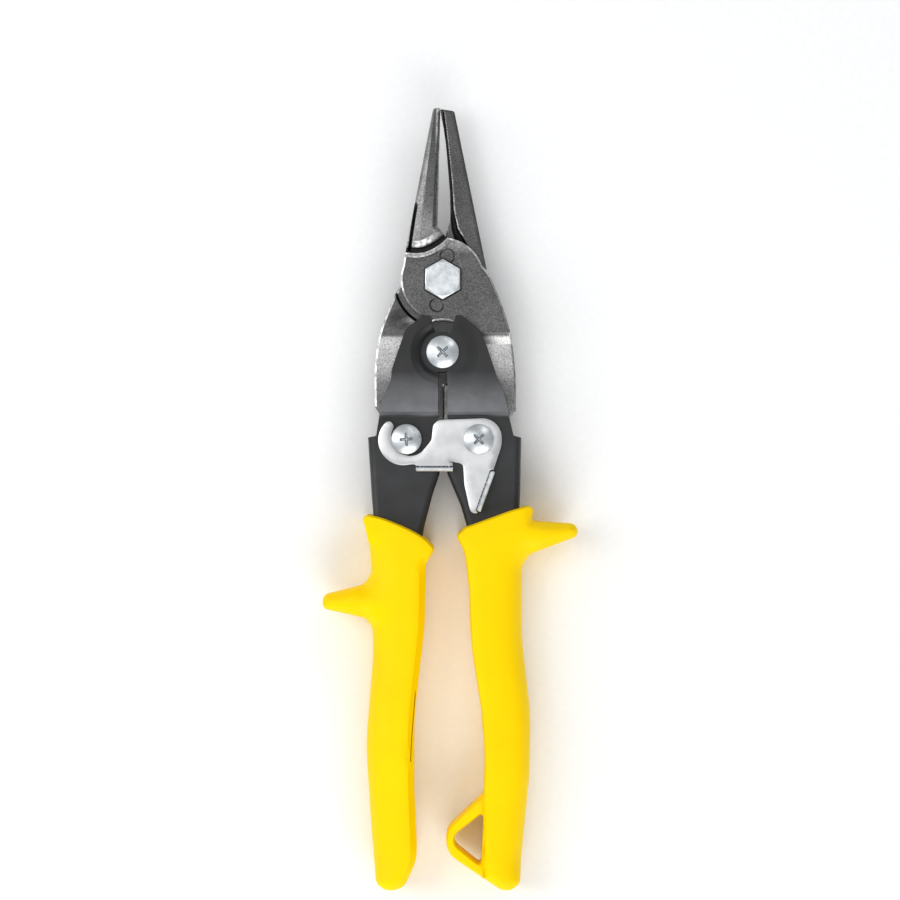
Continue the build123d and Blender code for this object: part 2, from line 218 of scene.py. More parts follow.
def ground_steel_and_highlight():
    """Bright ground steel of edges and cutting bevels, with fine grinding lines; also a painted highlight
    on lit slopes of the jaws.
    """
    made, shader = material("ground_steel_and_highlight", (0.5, 0.5, 0.5), 1.0, 0.3)
    lines = noise(made, 1500, 3, stretch=(1, 0.3, 1))
    stain = noise(made, 700, 5)
    tone = ramp(made, lines, [(0.25, (0.38, 0.375, 0.37)), (0.75, (0.72, 0.72, 0.72))])
    shade = ramp(made, stain, [(0.35, 0.45), (0.6, 1.0)])
    colour_from(made, shader, multiply(made, tone, shade))
    gloss = ramp(made, stain, [(0.3, 0.38), (0.7, 0.24)])
    link(made, gloss, "Color", shader, "Roughness")
    bump(made, shader, [(lines, 0.35), (stain, 0.3)], 0.00007)
    return made


def black_coat():
    """Thin black coating over pressed sheet: satin, faintly orange-peeled, with a painted
    highlight towards the bend."""
    made, shader = material("black_coat", (0.030, 0.031, 0.035), 0.25, 0.38)
    peel = noise(made, 1300, 3)
    streaks = noise(made, 90, 5, stretch=(1.2, 1.6, 1))
    tone = ramp(made, streaks, [(0.3, (0.125, 0.127, 0.134)), (0.7, (0.185, 0.188, 0.197))])
    # Painted highlight: a paler band just below the bend, where the sheet catches the light.
    painted_highlight = along_tool(made, [
        (-60, 0.13), (-34, 0.17), (-20.4, 0.12), (-19.8, 1.1), (-13, 0.7), (-6, 0.13), (12, 0.08),
    ])
    colour_from(made, shader, multiply(made, tone, painted_highlight))
    gloss = ramp(made, streaks, [(0.3, 0.46), (0.75, 0.34)])
    link(made, gloss, "Color", shader, "Roughness")
    bump(made, shader, [(peel, 0.16), (streaks, 0.05)], 0.00008)
    return made


def bright_zinc():
    """Bright bluish zinc plating on fasteners."""
    made, shader = material("bright_zinc", (0.66, 0.69, 0.73), 1.0, 0.3)
    cloud = noise(made, 420, 5)
    fine = noise(made, 2600, 2)
    tone = ramp(made, cloud, [(0.3, (0.48, 0.515, 0.54)), (0.7, (0.80, 0.83, 0.845))])
    colour_from(made, shader, tone)
    gloss = ramp(made, cloud, [(0.3, 0.50), (0.7, 0.38)])
    link(made, gloss, "Color", shader, "Roughness")
    bump(made, shader, [(cloud, 0.12), (fine, 0.08)], 0.00008)
    return made


def latch_zinc():
    """Satin zinc on pressed sheet: pale, with a rolled grain and light scuffs."""
    made, shader = material("latch_zinc", (0.84, 0.85, 0.86), 0.85, 0.36)
    grain = noise(made, 700, 3, stretch=(0.35, 2.4, 1))
    scuffs = noise(made, 200, 6)
    tone = ramp(made, scuffs, [(0.28, (0.57, 0.575, 0.59)), (0.6, (0.70, 0.705, 0.71))])
    colour_from(made, shader, tone)
    gloss = ramp(made, grain, [(0.3, 0.42), (0.7, 0.30)])
    link(made, gloss, "Color", shader, "Roughness")
    bump(made, shader, [(grain, 0.10), (scuffs, 0.06)], 0.00006)
    return made


def yellow_vinyl():
    """Moulded vinyl with a soft sheen: saturated yellow, slightly see-through at the skin."""
    made, shader = material(
        "yellow_vinyl", (1.0, 0.60, 0.0), 0.0, 0.45,
        Subsurface_Weight=0.08, Subsurface_Scale=0.003, Specular_IOR_Level=0.08,
    )
    cloud = noise(made, 60, 3)
    peel = noise(made, 900, 2)
    tone = ramp(made, cloud, [(0.3, (0.97, 0.63, 0.0)), (0.7, (1.0, 0.67, 0.0))])
    colour_from(made, shader, tone)
    gloss = ramp(made, cloud, [(0.3, 0.48), (0.7, 0.40)])
    link(made, gloss, "Color", shader, "Roughness")
    bump(made, shader, [(peel, 0.10)], 0.00008)
    return made


def spring_steel():
    """Spring wire: mid grey steel, slightly mottled."""
    made, shader = material("spring_steel", (0.33, 0.33, 0.34), 1.0, 0.33)
    wire = noise(made, 1500, 3)
    tone = ramp(made, wire, [(0.3, (0.22, 0.22, 0.22)), (0.7, (0.42, 0.42, 0.43))])
    colour_from(made, shader, tone)
    bump(made, shader, [(wire, 0.12)], 0.00005)
    return made


# Both forgings are one steel; the front jaw's higher values are painted highlight, the rear jaw's lower
# ones painted shade.
FORGED = forged_steel("front_forging", 0.78, 0.52, 0.42)
REAR_FORGED = forged_steel("rear_forging", 0.26, 0.22, 0.22)
GROUND_AND_HIGHLIGHT = ground_steel_and_highlight()
OXIDE_AND_PAINTED_SHADE = oxide_and_painted_shade()
BLACK = black_coat()
ZINC = bright_zinc()
LATCH = latch_zinc()
YELLOW = yellow_vinyl()
SPRING = spring_steel()


# ---- Relief meshes: an outline cut from a CAD node, with a shaped front and back ----
def slice_loops(name, height):
    """The closed outlines of a CAD node at a height above mid-plane, in tool coordinates."""
    cut = bmesh.new()
    cut.from_mesh(nodes[name].data)
    bmesh.ops.remove_doubles(cut, verts=cut.verts, dist=1e-6)
    level = tool_origin[2] + height * MM
    everything = cut.verts[:] + cut.edges[:] + cut.faces[:]
    found = bmesh.ops.bisect_plane(cut, geom=everything, plane_co=(0, 0, level), plane_no=(0, 0, 1))
    cut.verts.index_update()
    neighbours = {}
    for edge in found["geom_cut"]:
        if isinstance(edge, bmesh.types.BMEdge):
            first, second = edge.verts
            neighbours.setdefault(first, []).append(second)
            neighbours.setdefault(second, []).append(first)
    loops = []
    unused = set(neighbours)
    while unused:
        start = min(unused, key=lambda vert: vert.index)
        loop = [start]
        unused.discard(start)
        step = next((vert for vert in neighbours[start] if vert in unused), None)
        while step is not None:
            loop.append(step)
            unused.discard(step)
            step = next((vert for vert in neighbours[step] if vert in unused), None)
        loops.append(np.array([in_tool(vert.co)[:2] for vert in loop]))
    cut.free()
    loops = [tidy(loop) for loop in loops if len(loop) > 2]
    return sorted(loops, key=lambda loop: -abs(area(loop)))


def area(loop):
    """The loop's area, positive if it runs anticlockwise."""
    x, y = loop[:, 0], loop[:, 1]
    return 0.5 * float(np.sum(x * np.roll(y, -1) - y * np.roll(x, -1)))


def tidy(loop):
    """Drops doubled points and points on straight stretches."""
    kept = [loop[0]]
    for point in loop[1:]:
        if np.linalg.norm(point - kept[-1]) > 0.02:
            kept.append(point)
    points = np.array(kept)
    before = points - np.roll(points, 1, axis=0)
    after = np.roll(points, -1, axis=0) - points
    turn = before[:, 0] * after[:, 1] - before[:, 1] * after[:, 0]
    size = np.linalg.norm(before, axis=1) * np.linalg.norm(after, axis=1)
    corner = np.abs(turn) > 0.004 * size
    return points[corner] if corner.sum() > 2 else points


def subdivided(loop, spacing, closed=True):
    """The loop with points added so that none are further apart than spacing."""
    out = []
    count = len(loop)
    for i in range(count if closed else count - 1):
        start, end = loop[i], loop[(i + 1) % count]
        steps = max(1, int(math.ceil(np.linalg.norm(end - start) / spacing)))
        for k in range(steps):
            out.append(start + (end - start) * k / steps)
    if not closed:
        out.append(loop[-1])
    return np.array(out)


def eased(loop, spacing, reach=5, most=0.4):
    """The loop with its shallow kinks smoothed away and its real corners kept."""
    loop = subdivided(loop, spacing)
    weights = np.exp(-0.5 * (np.arange(-reach, reach + 1) / (reach / 2)) ** 2)
    weights /= weights.sum()
    smooth = sum(w * np.roll(loop, k, axis=0) for k, w in zip(range(-reach, reach + 1), weights))
    shift = smooth - loop
    size = np.linalg.norm(shift, axis=1)
    near_corner = np.max([np.roll(size, k) for k in range(-3, 4)], axis=0)
    return loop + shift * (1 - smoothstep(near_corner, 0.5 * most, most))[:, None]


def relaxed(loop, centre, radius, passes=60):
    """The loop with its points near the centre drawn into an even curve."""
    near = (np.linalg.norm(loop - np.array(centre), axis=1) < radius)[:, None]
    for _ in range(passes):
        loop = np.where(near, (np.roll(loop, 1, axis=0) + np.roll(loop, -1, axis=0)) / 2, loop)
    return loop


def eased_line(line, spacing=0.6, reach=4):
    """An open line with its corners rounded off."""
    line = subdivided(np.array(line, float), spacing, closed=False)
    padded = np.vstack([np.repeat(line[:1], reach, axis=0), line, np.repeat(line[-1:], reach, axis=0)])
    smooth = sum(padded[k : k + len(line)] for k in range(2 * reach + 1)) / (2 * reach + 1)
    smooth[0], smooth[-1] = line[0], line[-1]
    return smooth


def beside(line, distance):
    """An open line moved sideways, to its left for a positive distance."""
    line = np.array(line, float)
    along = np.gradient(line, axis=0)
    along /= np.linalg.norm(along, axis=1)[:, None]
    return line + distance * np.column_stack([-along[:, 1], along[:, 0]])


def inside(points, loops):
    """Which points lie inside the outlines, counting holes as outside."""
    crossings = np.zeros(len(points), int)
    for loop in loops:
        following = np.roll(loop, -1, axis=0)
        for (x1, y1), (x2, y2) in zip(loop, following):
            if y1 == y2:
                continue
            spans = (points[:, 1] > min(y1, y2)) & (points[:, 1] <= max(y1, y2))
            x = x1 + (points[:, 1] - y1) * (x2 - x1) / (y2 - y1)
            crossings += spans & (points[:, 0] < x)
    return crossings % 2 == 1


def distance_to(points, loops, closed=True):
    """Each point's distance to the nearest stretch of the polylines."""
    nearest = np.full(len(points), 1e9)
    for loop in loops:
        ends = np.roll(loop, -1, axis=0) if closed else loop[1:]
        starts = loop if closed else loop[:-1]
        for start, end in zip(starts, ends):
            run = end - start
            length = float(run @ run)
            if length < 1e-12:
                continue
            share = np.clip(((points - start) @ run) / length, 0, 1)
            gap = points - start - share[:, None] * run
            nearest = np.minimum(nearest, np.einsum("ij,ij->i", gap, gap))
    return np.sqrt(nearest)


def inward_normals(loop, turned_left):
    """Unit normals into the material, for a loop with material on its left or right."""
    run = np.roll(loop, -1, axis=0) - np.roll(loop, 1, axis=0)
    run /= np.linalg.norm(run, axis=1)[:, None]
    normal = np.stack([-run[:, 1], run[:, 0]], axis=1)
    return normal if turned_left else -normal


def spread(candidates, taken, gap):
    """The candidates that keep a gap from each other and from the points taken already."""
    cells = {}

    def near(point):
        cx, cy = int(point[0] // gap), int(point[1] // gap)
        for ix in (cx - 1, cx, cx + 1):
            for iy in (cy - 1, cy, cy + 1):
                for other in cells.get((ix, iy), ()):
                    if (other[0] - point[0]) ** 2 + (other[1] - point[1]) ** 2 < gap * gap:
                        return True
        return False

    def put(point):
        cells.setdefault((int(point[0] // gap), int(point[1] // gap)), []).append(point)

    for point in taken:
        put(point)
    kept = []
    for point in candidates:
        if not near(point):
            put(point)
            kept.append(point)
    return kept


def lattice(low, high, step):
    """Points of a triangular grid between two corners."""
    columns = np.arange(low[0], high[0], step)
    lines = np.arange(low[1], high[1], step * 0.866)
    shifts = [0.5 * step if k % 2 else 0 for k in range(len(lines))]
    return np.array([(x + shift, y) for shift, y in zip(shifts, lines) for x in columns])


def good_runs(points, good):
    """The stretches of good points that follow one another round a loop."""
    if good.all():
        return [np.vstack([points, points[:1]])]
    runs, run = [], []
    first = int(np.argmin(good))
    for k in list(range(first, len(points))) + list(range(first + 1)):
        if good[k]:
            run.append(points[k])
            continue
        if len(run) > 1:
            runs.append(np.array(run))
        run = []
    return runs


def material_on_left(loop, number):
    """Whether the material is on a loop's left; the first loop is the outside, the rest holes."""
    return (area(loop) > 0) == (number == 0)


def band_lines(loops, band):
    """Lines at the distance band inside the edges, left out where they would come nearer."""
    lines = []
    for number, loop in enumerate(loops):
        row = loop + inward_normals(loop, material_on_left(loop, number)) * band
        lines += good_runs(row, inside(row, loops) & (distance_to(row, loops) > band * 0.97))
    return lines


def scattered(loops, fixed, rings, spacing, grid, dense):
    """Points for the mesh: rows along the edges, then grids that fill the rest."""
    edges = np.concatenate(loops)
    taken = [tuple(point) for point in edges] + [tuple(point) for line in fixed for point in line]
    extra = []
    for number, loop in enumerate(loops):
        normals = inward_normals(loop, material_on_left(loop, number))
        for ring_distance in rings:
            row = loop + normals * ring_distance
            good = inside(row, loops)
            good &= distance_to(row, loops) > ring_distance * 0.93
            if ring_distance > 0.3:
                good &= distance_to(row, fixed, closed=False) > 0.22
            gap = min(spacing * 0.6, max(0.35 * spacing, ring_distance * 0.8))
            extra += spread([tuple(point) for point in row[good]], taken + extra, gap)
    for low, high, step in [*dense, (edges.min(0), edges.max(0), grid)]:
        filling = lattice(low, high, step)
        good = inside(filling, loops)
        good &= distance_to(filling, loops) > min(rings[-1], 2 * step) + 0.3 * step
        extra += spread([tuple(point) for point in filling[good]], taken + extra, step * 0.6)
    return extra


def triangulated(loops, fixed, extra):
    """Points and anticlockwise triangles that follow the loops and the fixed lines."""
    points, constraints = [], []
    for loop in loops:
        base = len(points)
        points += [Vector(point) for point in loop]
        constraints += [(base + i, base + (i + 1) % len(loop)) for i in range(len(loop))]
    for line in fixed:
        base = len(points)
        points += [Vector(point) for point in line]
        constraints += [(base + i, base + i + 1) for i in range(len(line) - 1)]
    points += [Vector(point) for point in extra]
    found = geometry.delaunay_2d_cdt(points, constraints, [], 0, 1e-5)
    flat = np.array([tuple(vert) for vert in found[0]])
    triangles = np.array(found[2])
    triangles = triangles[inside(flat[triangles].mean(axis=1), loops)]
    a, b, c = (flat[triangles[:, k]] for k in range(3))
    turn = (b[:, 0] - a[:, 0]) * (c[:, 1] - a[:, 1]) - (b[:, 1] - a[:, 1]) * (c[:, 0] - a[:, 0])
    triangles = triangles[np.abs(turn) > 1e-9]
    turn = turn[np.abs(turn) > 1e-9]
    triangles[turn < 0] = triangles[turn < 0][:, ::-1]
    used = np.unique(triangles)
    renumber = np.full(len(flat), -1)
    renumber[used] = np.arange(len(used))
    return flat[used], renumber[triangles]


def border(triangles):
    """The directed edges that only one triangle has."""
    sides = {}
    for corners in triangles:
        for i in range(3):
            first, second = corners[i], corners[(i + 1) % 3]
            if (second, first) in sides:
                del sides[(second, first)]
            else:
                sides[(first, second)] = True
    return list(sides)


def placed(name, data):
    """A scene object for a mesh, a lamp or a camera."""
    made = bpy.data.objects.new(name, data)
    bpy.context.scene.collection.objects.link(made)
    return made


def relief(
    name, loops, top, bottom, rings, spacing, grid,
    creases=(), dense=(), band=None, paint=None, materials=(), smooth=35,
):
    """A closed mesh over the outlines: top and bottom give its faces' heights from
    (points, distance to the edge), rings are the distances of the rows of points along the
    edge, creases are lines that mesh edges follow, dense holds boxes of finer grid as
    (low corner, high corner, step), and band is the distance of a line followed along the edge.
    Paint gives each triangle's material from the same two values, and smooth is the angle, in
    degrees, above which an edge stays sharp."""
    loops = [subdivided(loop, spacing) for loop in loops]
    fixed = [subdivided(np.array(line, float), spacing, closed=False) for line in creases]
    if band:
        fixed += band_lines(loops, band)
    flat, triangles = triangulated(loops, fixed, scattered(loops, fixed, rings, spacing, grid, dense))
    depth = distance_to(flat, loops)
    depth[depth < 1e-4] = 0
    count = len(flat)
    front = np.column_stack([flat, top(flat, depth)])
    back = np.column_stack([flat, bottom(flat, depth)])
    faces = [tuple(t) for t in triangles] + [tuple(t[::-1] + count) for t in triangles]
    walls = [(j, i, i + count, j + count) for i, j in border(triangles)]
    mesh = bpy.data.meshes.new(name)
    vertices = np.concatenate([front, back]) * MM + tool_origin
    mesh.from_pydata([tuple(v) for v in vertices], [], faces + walls)
    for slot_material in materials:
        mesh.materials.append(slot_material)
    if paint is not None:
        middles = flat[triangles].mean(axis=1)
        chosen = np.asarray(paint(middles, distance_to(middles, loops)), int)
        indices = np.concatenate([chosen, chosen, np.zeros(len(walls), int)])
        mesh.polygons.foreach_set("material_index", indices)
    mesh.update()
    mesh.polygons.foreach_set("use_smooth", [True] * len(mesh.polygons))
    mesh.set_sharp_from_angle(angle=math.radians(smooth))
    return placed(name, mesh)


def smoothstep(value, low, high):
    """Rises smoothly from 0 at low to 1 at high."""
    t = np.clip((value - low) / (high - low), 0, 1)
    return t * t * (3 - 2 * t)


def edge_drop(depth, width):
    """How far a 45 degree chamfer of that width lies below the face."""
    return np.clip(width - depth, 0, None)


def forged_edge(depth, width):
    """How far a shallow edge bevel, itself broken at the corner, lies below the face."""
    return 0.42 * np.clip(width - depth, 0, None) + 0.9 * np.clip(0.15 - depth, 0, None)


# ---- Grips ----
CROWN_REACH = 15.0
STRIP_WIDTH = 2.5
GRIP_ROWS = (0.04, 0.2, 0.55, 1.1, 1.9, 3.0, 4.4, 6.2)
GRIP_SLICE = 6.5
GRIP_SPACING = 1.3
GRIP_GRID = 2.0
LUG_THINNING = 0.30


def soft_ramp(value, soft=0.5):
    """Zero below zero, then rising one for one, with a soft start."""
    value = np.clip(value, 0, None)
    return np.where(value < soft, value * value / (2 * soft), value - soft / 2)


def edge_fall(points, loops, shape_of):
    """How far a face falls towards its edges: shape_of gives, for each point of an outline
    and its outward direction, the rounding radius, the crown and the slope of a flat strip."""
    fall = np.zeros(len(points))
    for number, loop in enumerate(loops):
        loop = subdivided(loop, GRIP_SPACING)
        shape = shape_of(loop, -inward_normals(loop, material_on_left(loop, number)))
        ends, end_shape = np.roll(loop, -1, axis=0), np.roll(shape, -1, axis=0)
        for start, end, first, second in zip(loop, ends, shape, end_shape):
            run = end - start
            share = np.clip(((points - start) @ run) / float(run @ run), 0, 1)
            gap = np.linalg.norm(points - start - share[:, None] * run, axis=1)
            radius, crown, strip = (first + share[:, None] * (second - first)).T
            inner = np.clip(radius - gap, 0, None)
            drop = radius - np.sqrt(np.clip(radius**2 - inner**2, 0, None))
            drop = drop + crown * np.clip(1 - gap / CROWN_REACH, 0, 1) ** 2
            drop = np.maximum(drop, strip * soft_ramp(STRIP_WIDTH - gap))
            fall = np.maximum(fall, drop)
    return fall


def grip_half_thickness(points):
    """Fullest behind the lugs and slimmer towards the end of the handle."""
    return 10.0 - 1.3 * smoothstep(-points[:, 1], 118, 172) - 0.25 * smoothstep(points[:, 1], -64, -50)


def grip_shape(out, along, collar, lug, lug_radius, strip):
    """Rounding radius, crown and strip slope round a grip; out is the outward direction
    away from the other handle, along the height measured down from the pivot."""
    outer = smoothstep(out, -0.3, 0.8)
    end = smoothstep(along, 159, 168)
    radius = 1.9 + 4.3 * outer
    radius = radius * (1 - collar) + 1.3 * collar
    radius = radius * (1 - end) + 4.2 * end
    radius = radius * (1 - lug) + lug_radius * lug
    crown = 2.3 * outer * (1 - collar) * (1 - 0.8 * lug) * (1 - 0.6 * end)
    return np.column_stack([radius, crown, strip * (1 - collar) * (1 - end)])


def left_grip():
    """The plain grip, with a fine slit in its face."""
    loops = [eased(loop, GRIP_SPACING) for loop in slice_loops("left_grip", GRIP_SLICE)[:1]]
    slit = np.array([(-8.6, -107.7), (-9.3, -116.0), (-9.75, -122.0), (-10.1, -128.8)])
    slit_depth = 1.3
    slit_half_width = np.array([0.17, 0.02])

    def shape_of(loop, outward):
        out, along = -outward[:, 0], -loop[:, 1]
        collar = 1 - smoothstep(along, 57, 63)
        strip = 1.35 * smoothstep(-out, 0.55, 0.9) * smoothstep(along, 62, 68)
        return grip_shape(out, along, collar, smoothstep(-loop[:, 0], 24, 31), 5.0, strip)

    def height(points):
        thin = 1 - LUG_THINNING * smoothstep(-points[:, 0], 21, 39)
        return (grip_half_thickness(points) - edge_fall(points, loops, shape_of)) * thin

    def top(points, depth):
        cut = distance_to(points, [slit], closed=False)
        return height(points) - slit_depth * (cut < 0.05)

    made = relief(
        "left_grip_skin", loops, top, lambda p, d: -height(p), GRIP_ROWS, GRIP_SPACING, GRIP_GRID,
        creases=[slit, slit + slit_half_width, slit - slit_half_width], materials=(YELLOW,), smooth=30,
    )
    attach(made, "left_handle")
    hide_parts("left_grip")


def right_grip():
    """The grip with the hanging ring, which is thinner than the grip's body."""
    outline, hole = slice_loops("right_grip", GRIP_SLICE)[:2]
    loops = [eased(outline, GRIP_SPACING), hole]
    ring_edge = np.array([(12.75, -139.9), (12.85, -146.0), (12.35, -162.0), (12.6, -165.9)])
    ring_half = 6.6

    def shape_of(loop, outward):
        collar = smoothstep(loop[:, 1], -60, -54) * (1 - smoothstep(loop[:, 0], 27, 31))
        lug = smoothstep(loop[:, 0], 26, 32)
        along = np.where(loop[:, 0] < 12.5, 0, -loop[:, 1])
        return grip_shape(outward[:, 0], along, collar, lug, 4.6, 0)

    def ring_shape(loop, outward):
        return np.column_stack([np.full(len(loop), 1.5), np.zeros(len(loop)), np.zeros(len(loop))])

    def on_ring(points):
        x = np.interp(-points[:, 1], -ring_edge[:, 1], ring_edge[:, 0])
        below = (points[:, 1] < -139.0) & (points[:, 1] > -167.0)
        return below & (points[:, 0] < x - 0.05)

    def height(points):
        body_loops = [np.array([point for point in loops[0] if not on_ring(point[None])[0]])]
        body = grip_half_thickness(points) - edge_fall(points, body_loops, shape_of)
        ring = ring_half - edge_fall(points, loops, ring_shape)
        face = np.where(on_ring(points), ring, body)
        return face * (1 - LUG_THINNING * smoothstep(points[:, 0], 25, 43))

    creases = [ring_edge + np.array([shift, 0.0]) for shift in (-0.12, 0, 0.15, 0.5, 1.1, 1.9)]
    made = relief(
        "right_grip_skin", loops, lambda p, d: height(p), lambda p, d: -height(p), GRIP_ROWS,
        GRIP_SPACING, GRIP_GRID, creases=creases, materials=(YELLOW,), smooth=30,
    )
    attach(made, "right_handle")
    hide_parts("right_grip")


# ---- Blades ----
HUB_TOP = 5.05
TANG_HALF = 2.1
TANG_STEP = (2.6, 6.2)
BLADE_GAP = 0.05
JAW_TIP_HEIGHT = 3.3
THINNEST = 0.35
RECESS_RADIUS = 14.9
RECESS_RIM = RECESS_RADIUS + 0.9
ROUND = 0.55
FORGED_ROWS = (0.15, 1.2)
FORGED_SPACING = 0.9
# Distances from a groove's middle to the foot and the top of its walls.
END_FOOT, END_BRINK = 0.62, 0.86
SIDE_FOOT, SIDE_BRINK = 0.2, 0.55
# The bolt head's seat: half widths across flats at its floor and at its rim, and its depth.
SEAT_FLOOR, SEAT_RIM, SEAT_DEPTH = 5.62, 5.95, 0.5
# Where the round marks' groove begins, is deepest and ends, from the mark's radius.
MARK_SHIFTS = (-0.35, -0.1, 0.3)
# Shares of the front jaw's width at which its facets meet.
FACETS = [0, 0.2, 0.45, 0.62, 1]


def circle(centre, radius, start=0.0, end=360.0, count=72):
    """Points round a circle between two angles in degrees; few of them make a polygon."""
    angles = np.radians(np.linspace(start, end, count))
    return np.column_stack([centre[0] + radius * np.cos(angles), centre[1] + radius * np.sin(angles)])


def mating_side(points):
    """The side that slides on the other blade, flat at the hub and recessed round it."""
    away = np.linalg.norm(points - blade_pivot, axis=1)
    slope = np.interp(away, [RECESS_RADIUS, RECESS_RIM], [BLADE_GAP, -TANG_HALF])
    return np.where(points[:, 1] > 24.0, BLADE_GAP, slope)


def jaw_and_tang(points):
    """The outer side's height: thick hub, tapering jaw, and a thin tang below a step."""
    return np.interp(
        points[:, 1], [-40, *TANG_STEP, 40, jaw_tip_y],
        [TANG_HALF, TANG_HALF, HUB_TOP, HUB_TOP, JAW_TIP_HEIGHT],
    )


def front_blade():
    """The blade in front: hub with its marks, grooved and facetted jaw, and the right tang."""
    loops = slice_loops("front_blade", 0.6)
    hex_seat = circle(blade_pivot, SEAT_FLOOR / math.cos(math.pi / 6), 30, 390, 7)
    hex_rim = circle(blade_pivot, SEAT_RIM / math.cos(math.pi / 6), 30, 390, 7)
    side_groove = np.array([(-8.3, 46.6), (-9.0, 42.5), (-10.2, 34.6), (-10.5, 32.6)])
    end_groove = eased_line(
        [(-11.2, 32.3), (-7.5, 31.9), (-4.7, 32.6), (-1.9, 34.2), (0.3, 35.9), (2.2, 38.2)]
    )
    marks = [((1.5, 30.3), 2.3), ((-1.8, 15.0), 2.2)]

    def outer_edge(y):
        return np.interp(y, [32.4, jaw_tip_y - 0.5], [-11.6, -3.0])

    def bevel_start(y):
        return np.interp(y, [39.9, jaw_tip_y], [-3.25, -1.9])

    def above_groove(x, y):
        return y > np.interp(x, end_groove[:, 0], end_groove[:, 1])

    def top(points, depth):
        x, y = points[:, 0], points[:, 1]
        height = jaw_and_tang(points)
        start = bevel_start(y)
        across = np.clip((x - outer_edge(y)) / (start - outer_edge(y)), 0, 1)
        facet = np.interp(across, FACETS, [-1.3, -0.45, 0, -0.2, -0.75])
        on_face = above_groove(x, y) & (y > 31.5)
        strength = 0.35 + 0.65 * smoothstep(y, 36, 58)
        height = height + np.where(on_face, facet * strength, 0)
        bevel = np.clip((x - start) / (np.interp(y, [39.9, jaw_tip_y], [-1.6, -0.7]) - start), 0, 1)
        height = height - bevel * (height - 0.9) * smoothstep(y, 38.2, 40.2)
        side_gap = distance_to(points, [side_groove], closed=False)
        side_depth = 2.3 * smoothstep(-y, -47.5, -42.5)
        height = height - side_depth * (1 - smoothstep(side_gap, SIDE_FOOT, SIDE_BRINK))
        end_gap = distance_to(points, [end_groove], closed=False)
        rise = np.interp(end_gap, [END_FOOT, END_BRINK, 3.4, 4.2], [2.3, 1.3, 0.08, 0])
        ridge = np.interp(end_gap, [END_FOOT, END_BRINK, 1.4, 2.6], [2.3, -0.45, -0.5, 0])
        height = height - np.where(above_groove(x, y), rise, ridge) * (y > 29)
        from_bolt = points - blade_pivot
        angle = np.arctan2(from_bolt[:, 1], from_bolt[:, 0])
        sector = (angle + math.radians(30)) % math.radians(60) - math.radians(30)
        flats = np.linalg.norm(from_bolt, axis=1) * np.cos(sector)
        height = height - np.interp(flats, [SEAT_FLOOR, SEAT_RIM], [SEAT_DEPTH, 0])
        for centre, radius in marks:
            away = np.linalg.norm(points - np.array(centre), axis=1)
            dent = np.interp(away, [radius + shift for shift in MARK_SHIFTS], [0.12, 0.34, 0])
            height = height - np.where(flats > 6.3, dent, 0)
        limit = np.where(y > 39.5, 0.12, ROUND)
        return np.maximum(height - forged_edge(depth, limit), BLADE_GAP + THINNEST)

    def paint(points, depth):
        x, y = points[:, 0], points[:, 1]
        bevel = (x > bevel_start(y)) & (y > 39.6) & (x < -0.4)
        end_gap = distance_to(points, [end_groove], closed=False)
        side_gap = distance_to(points, [side_groove], closed=False)
        lip = (end_gap > END_BRINK) & (end_gap < 3.0) & above_groove(x, y) & (x > -9.6) & (x < -3.0)
        ridge = (end_gap > END_BRINK) & (end_gap < 2.2) & ~above_groove(x, y) & (x < 0.8)
        # Grooves get the near-black colour: scale and painted shade.
        groove = (end_gap < END_BRINK) & (x < 2.6) | (side_gap < SIDE_BRINK)
        # Edges and the cutting bevel are ground steel; the lip and ridge get it as painted highlight where
        # their slopes face the light.
        bright = ((depth < ROUND) & (y < 36)) | bevel | lip | ridge
        return np.where(groove, 2, np.where(bright, 1, 0))

    lengthwise = np.linspace(40.2, jaw_tip_y - 0.8, 14)
    creases = [
        circle(blade_pivot, RECESS_RADIUS), circle(blade_pivot, RECESS_RIM), hex_seat, hex_rim,
        *([(14.0, y), (24.0, y)] for y in reversed(TANG_STEP)), end_groove,
    ]
    end_shifts = (-1.4, -END_BRINK, -END_FOOT, END_FOOT, END_BRINK)
    side_shifts = (-SIDE_BRINK, -SIDE_FOOT, SIDE_FOOT, SIDE_BRINK)
    creases += [beside(end_groove, shift) for shift in end_shifts]
    creases += [beside(side_groove, shift) for shift in side_shifts]
    for share in FACETS[1:]:
        outer = outer_edge(lengthwise)
        creases.append(np.column_stack([outer + share * (bevel_start(lengthwise) - outer), lengthwise]))
    for centre, radius in marks:
        creases += [circle(centre, radius + shift, count=30) for shift in MARK_SHIFTS]
    made = relief(
        "front_blade_forging", loops, top, lambda p, d: mating_side(p), FORGED_ROWS, FORGED_SPACING, 0.75,
        creases=creases, dense=[((-12.5, 29.5), (3.0, 49.0), 0.34), ((-9.5, 49.0), (0.0, 78.0), 0.5)],
        band=ROUND, paint=paint, materials=(FORGED, GROUND_AND_HIGHLIGHT, OXIDE_AND_PAINTED_SHADE), smooth=30,
    )
    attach(made, "front_blade")
    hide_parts("front_blade")


